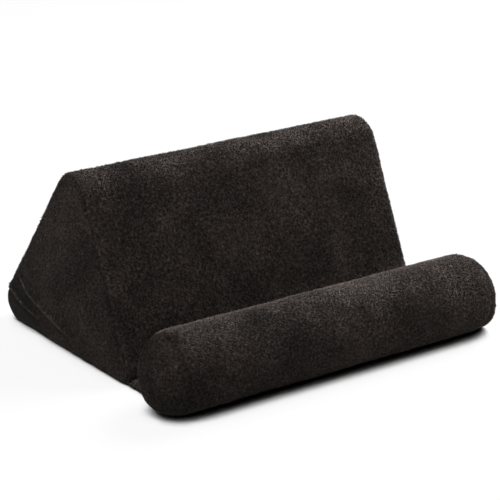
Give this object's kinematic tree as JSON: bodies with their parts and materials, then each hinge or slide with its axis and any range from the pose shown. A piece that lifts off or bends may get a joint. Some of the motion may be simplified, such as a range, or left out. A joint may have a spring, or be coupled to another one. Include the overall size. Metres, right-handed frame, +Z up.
{
  "type": "tablet cushion stand",
  "caption": "Plush cushion stand: a foam wedge to lean a tablet on, joined by a cloth bridge to a foam roll that stops its lower edge, with a zipper along the back.",
  "frame": {"origin": "on the floor under the middle of the whole stand's box", "axes": "+X along the roll and the wedge, +Y from the roll to the back of the wedge, +Z up"},
  "size_m": [0.27, 0.2291, 0.124],
  "materials": {
    "plush": "charcoal short-pile plush, matt with a faint nap",
    "foam": "open-cell polyurethane foam, pale cream",
    "zipper_tape": "black woven polyester tape",
    "zipper_coil": "black nylon coil, satin",
    "zipper_metal": "die-cast zinc, black lacquer"
  },
  "bodies": {
    "cushion": {"upper_panel": "plush", "base_panel": "plush", "left_gusset": "plush", "right_gusset": "plush", "roll_sleeve": "plush", "left_roll_end": "plush", "right_roll_end": "plush", "bridge": "plush", "wedge_foam": "foam", "roll_foam": "foam", "upper_zipper_tape": "zipper_tape", "lower_zipper_tape": "zipper_tape", "upper_coil_row": "zipper_coil", "lower_coil_row": "zipper_coil", "upper_top_stop": "zipper_metal", "lower_top_stop": "zipper_metal", "bottom_stop": "zipper_metal"},
    "zip_slider": {"slider": "zipper_metal"},
    "zip_pull": {"pull_tab": "zipper_metal"}
  },
  "joints": [
    {"name": "zip_slide", "type": "slide", "parent": "cushion", "child": "zip_slider", "axis": [1, 0, 0], "range_m": [0, 0.1979]},
    {"name": "pull_hinge", "type": "hinge", "parent": "zip_slider", "child": "zip_pull", "pos_m": [-0.10015, 0.10538, 0.03348], "axis": [0, -0.6115, 0.7912], "range_deg": [0, 150]}
  ]
}
